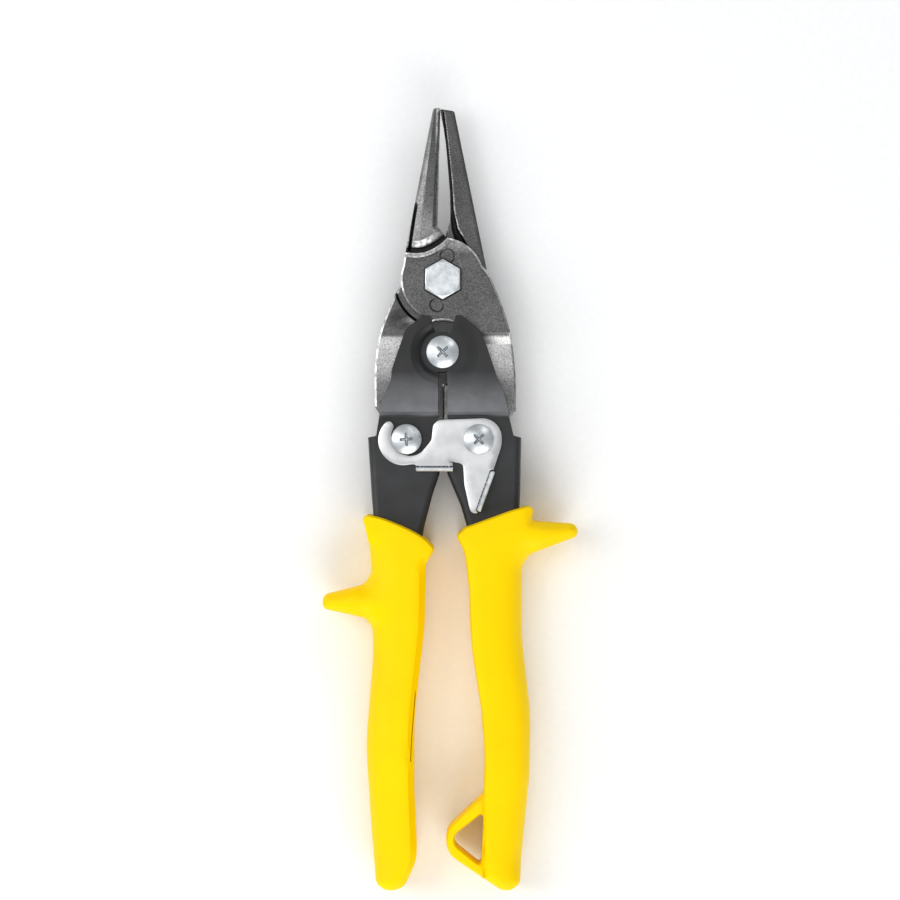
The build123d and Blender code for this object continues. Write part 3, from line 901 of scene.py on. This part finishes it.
def rear_blade():
    """The blade behind: hub, jaw with a hollow beside its edge, and the left tang."""
    loops = slice_loops("rear_blade", -0.6)
    hollow = np.array([(0.25, 76.4), (1.35, 66.0), (2.35, 55.0), (2.9, 45.0), (3.9, 39.0), (6.6, 33.2)])
    scoop_centre = np.array([-12.4, 10.4])

    def half_width(y):
        return np.interp(y, [33, 38, 45, 66, 76], [1.9, 1.1, 0.75, 0.5, 0.3])

    def front(points, depth):
        x, y = points[:, 0], points[:, 1]
        height = -mating_side(points)
        gap = distance_to(points, [hollow], closed=False)
        reach = gap / half_width(y)
        deep = np.interp(y, [33, 38, 45, 76], [2.2, 1.5, 1.0, 0.5])
        height = height - deep * (1 - smoothstep(reach, 0.45, 1.0)) * (y > 32.0)
        scoop = np.linalg.norm((points - scoop_centre) / np.array([5.2, 4.0]), axis=1)
        height = height - np.where(height > 1.5, 1 - smoothstep(scoop, 0.0, 1.0), 0)
        return height - forged_edge(depth, np.where(y > 24, 0.15, ROUND))

    def back(points, depth):
        height = jaw_and_tang(points)
        on_jaw = smoothstep(points[:, 1], 33.5, 37.0)
        outer = np.interp(points[:, 1], [26.4, jaw_tip_y - 1.0], [13.95, 3.7])
        inner = np.interp(points[:, 1], [35.6, 66.8, jaw_tip_y], [0.6, 1.0, -0.8])
        across = np.clip((points[:, 0] - inner) / (outer - inner), 0, 1)
        facet = np.interp(across, [0, 0.34, 0.58, 0.84, 1], [-0.5, -0.6, 0, -0.5, -1.1])
        height = height + on_jaw * facet
        bevel = np.clip(1 - depth / 1.5, 0, 1) * (across < 0.5) * smoothstep(points[:, 1], 39.0, 41.0)
        height = height - bevel * (height - 1.0)
        return -np.maximum(height - forged_edge(depth, ROUND), BLADE_GAP + THINNEST)

    def paint(points, depth):
        x, y = points[:, 0], points[:, 1]
        edge = (depth < ROUND) & (y < 24) | (depth < 0.12) & (x < 3.0) & (y > 38)
        gap = distance_to(points, [hollow], closed=False) / half_width(y)
        # The hollow's middle gets near-black painted shade.
        dark = (gap < 0.8) & (y > 32)
        # Painted highlight: the bright strip along the hollow's far brink.
        lip = (gap < 1.35) & (y > 37) & ~dark & (x > np.interp(y, hollow[::-1, 1], hollow[::-1, 0]))
        return np.where(dark, 2, np.where(edge | lip, 1, 0))

    offset = np.array([[0.3, 0], [0.5, 0], [0.62, 0], [0.75, 0], [1.0, 0.3], [1.5, 0.9]])
    creases = [circle(blade_pivot, RECESS_RADIUS), circle(blade_pivot, RECESS_RIM)]
    creases += [hollow, hollow + offset, hollow - offset, hollow + 1.7 * offset]
    made = relief(
        "rear_blade_forging", loops, front, back, FORGED_ROWS, FORGED_SPACING, 0.9, creases=creases,
        dense=[((0.0, 32.0), (9.0, 77.0), 0.4), ((-20.0, 4.0), (-7.0, 17.0), 0.6)],
        band=ROUND, paint=paint, materials=(REAR_FORGED, GROUND_AND_HIGHLIGHT, OXIDE_AND_PAINTED_SHADE), smooth=30,
    )
    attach(made, "rear_blade")
    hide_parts("rear_blade")


# ---- Latch ----
def latch():
    """The sheet hook and its two turned up tabs, with a line of painted shade round the foot of each."""
    plate_low = middle_of("latch_washer")[2] + 0.18
    sheet = 1.4
    plate_high = plate_low + sheet
    chamfer = 0.22
    hook_root = (-4.9, -29.4)
    loops = [eased(loop, 0.4, 4, 0.55) for loop in slice_loops("latch", plate_high - 0.5)]
    loops = [relaxed(loop, hook_root, 2.3) for loop in loops]
    tabs = slice_loops("latch", plate_high + 1.0)
    bend = 0.4

    def top(points, depth):
        rise = np.clip(bend - distance_to(points, tabs), 0, None)
        return plate_high - edge_drop(depth, chamfer) - 0.5 * rise

    def back(points, depth):
        return plate_low + edge_drop(depth, chamfer)

    def paint(points, depth):
        # Painted shade: a near-black line round the foot of each tab.
        return (distance_to(points, tabs) < 0.95 * bend) & ~inside(points, tabs)

    creases = []
    for tab in tabs:
        tab = subdivided(tab, 0.5)
        around = tab - inward_normals(tab, area(tab) > 0) * bend
        creases.append(np.vstack([around, around[:1]]))
    plate = relief(
        "latch_plate", loops, top, back, (0.1, chamfer, 0.6), 0.7, 1.6, creases=creases, paint=paint,
        materials=(LATCH, OXIDE_AND_PAINTED_SHADE), smooth=50,
    )
    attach(plate, "latch")
    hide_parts("latch")
    tab_top = in_tool(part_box("latch")[1])[2]
    for number, loop in enumerate(tabs):
        tab = relief(
            f"latch_tab_{number + 1}", [loop], lambda p, d: tab_top - 1.2 * edge_drop(d, 0.3),
            lambda p, d: np.full(len(p), plate_low + 0.3), (0.3,), 0.45, 0.45, materials=(ZINC,), smooth=30,
        )
        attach(tab, "latch")


# ---- Return spring ----
def return_spring():
    """A torsion spring on the handle pivot whose legs press the two handles apart."""
    low, high = (in_tool(corner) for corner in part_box("return_spring"))
    wire = 0.55
    sides = 10
    leg_steps = 10
    turns = 4.5
    turn_steps = 180
    coil_radius = (high[0] - low[0]) / 2 - wire
    bottom, top = low[2] + wire, high[2] - wire
    leg_end = low[1] + wire
    points = [(coil_radius, leg_end + (0 - leg_end) * k / leg_steps, bottom) for k in range(leg_steps)]
    for k in range(turn_steps + 1):
        angle = 2 * math.pi * turns * k / turn_steps
        rise = bottom + (top - bottom) * k / turn_steps
        points.append((coil_radius * math.cos(angle), coil_radius * math.sin(angle), rise))
    points += [(-coil_radius, leg_end * k / leg_steps, top) for k in range(1, leg_steps + 1)]
    path = np.array(points)
    vertices, faces = [], []
    for i, point in enumerate(path):
        run = path[min(i + 1, len(path) - 1)] - path[max(i - 1, 0)]
        run /= np.linalg.norm(run)
        across = np.cross(run, (0, 0, 1))
        across /= np.linalg.norm(across)
        up = np.cross(across, run)
        for s in range(sides):
            angle = 2 * math.pi * s / sides
            vertices.append(point + wire * (math.cos(angle) * across + math.sin(angle) * up))
        if i:
            base = (i - 1) * sides
            for s in range(sides):
                t = (s + 1) % sides
                faces.append((base + s, base + t, base + sides + t, base + sides + s))
    last = (len(path) - 1) * sides
    faces.append(tuple(range(sides))[::-1])
    faces.append(tuple(range(last, last + sides)))
    mesh = bpy.data.meshes.new("return_spring_wire")
    in_row = np.array(vertices) * MM + tool_origin
    mesh.from_pydata([tuple(v) for v in in_row], [], faces)
    mesh.materials.append(SPRING)
    mesh.polygons.foreach_set("use_smooth", [True] * len(mesh.polygons))
    made = placed("return_spring_wire", mesh)
    mesh.validate()
    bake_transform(made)
    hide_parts("return_spring")


# ---- CAD pieces that stay as they are ----
def dress(name, used, bevel):
    """Gives a CAD piece its material and a fine rounded edge."""
    piece = nodes[name]
    piece.data.materials.clear()
    piece.data.materials.append(used)
    weld = piece.modifiers.new("weld", "WELD")
    weld.merge_threshold = 1e-6
    rounding = piece.modifiers.new("rounding", "BEVEL")
    rounding.width = bevel * MM
    rounding.segments = 2
    rounding.limit_method = "ANGLE"
    rounding.angle_limit = math.radians(40)


left_grip()
right_grip()
front_blade()
rear_blade()
latch()
return_spring()
for name in ("left_handle_frame", "right_handle_frame"):
    dress(name, BLACK, 0.3)
for name in ("pivot_bolt", "pivot_nut"):
    dress(name, ZINC, 0.2)
for name in (
    "handle_pivot_screw", "left_pivot_screw", "right_pivot_screw",
    "handle_pivot_nut", "left_pivot_nut", "right_pivot_nut", "pivot_washer",
):
    dress(name, ZINC, 0.12)
for name in ("latch_washer", "left_tang_washers", "right_tang_washers", "handle_pivot_sleeve"):
    dress(name, LATCH, 0.08)


# ---- Studio ----
def floor():
    """A large sheet of pale paper under the tool."""
    half = 1.6
    mesh = bpy.data.meshes.new("studio_floor")
    corners = [(-half, -half, 0), (half, -half, 0), (half, half, 0), (-half, half, 0)]
    mesh.from_pydata(corners, [], [(0, 1, 2, 3)])
    made = placed("studio_floor", mesh)
    paper, shader = material("pale_paper", (0.92, 0.92, 0.92), 0.0, 0.85)
    fibre = noise(paper, 500, 3)
    tone = ramp(paper, fibre, [(0.3, 0.905), (0.7, 0.93)])
    colour_from(paper, shader, tone)
    mesh.materials.append(paper)


LIT_POINT = (0, 0.02, 0)


def soft_light(name, place, width, height, power):
    """A rectangular lamp aimed at the lit point."""
    lamp = bpy.data.lights.new(name, "AREA")
    lamp.shape = "RECTANGLE"
    lamp.size = width
    lamp.size_y = height
    lamp.energy = power
    made = placed(name, lamp)
    made.location = place
    made.rotation_euler = (Vector(LIT_POINT) - Vector(place)).to_track_quat("-Z", "Y").to_euler()


def camera():
    """Straight above the tool, with the tips at the top of the picture."""
    view_width = 0.2843
    height = 1.1
    framed_level = 0.0145
    look = bpy.data.cameras.new("camera")
    look.sensor_width = 36
    look.lens = look.sensor_width * (height - framed_level) / view_width
    made = placed("camera", look)
    made.location = (tool_origin[0] + 0.00234, tool_origin[1] - 0.0309, height)
    bpy.context.scene.camera = made


floor()
soft_light("key_below", (0.20, -0.95, 0.62), 1.1, 0.6, 8.6)
soft_light("side_left", (-0.90, 0.15, 0.72), 0.7, 1.1, 6.6)
soft_light("back_right", (0.50, 0.75, 0.60), 0.7, 0.3, 1.6)
soft_light("overhead", (-0.30, 0.20, 1.50), 1.2, 1.2, 4.2)
world = bpy.data.worlds.new("studio")
world.use_nodes = True
world.node_tree.nodes["Background"].inputs["Color"].default_value = (0.96, 0.98, 1.0, 1)
world.node_tree.nodes["Background"].inputs["Strength"].default_value = 0.40
bpy.context.scene.world = world
bpy.context.scene.view_settings.view_transform = "Standard"
camera()
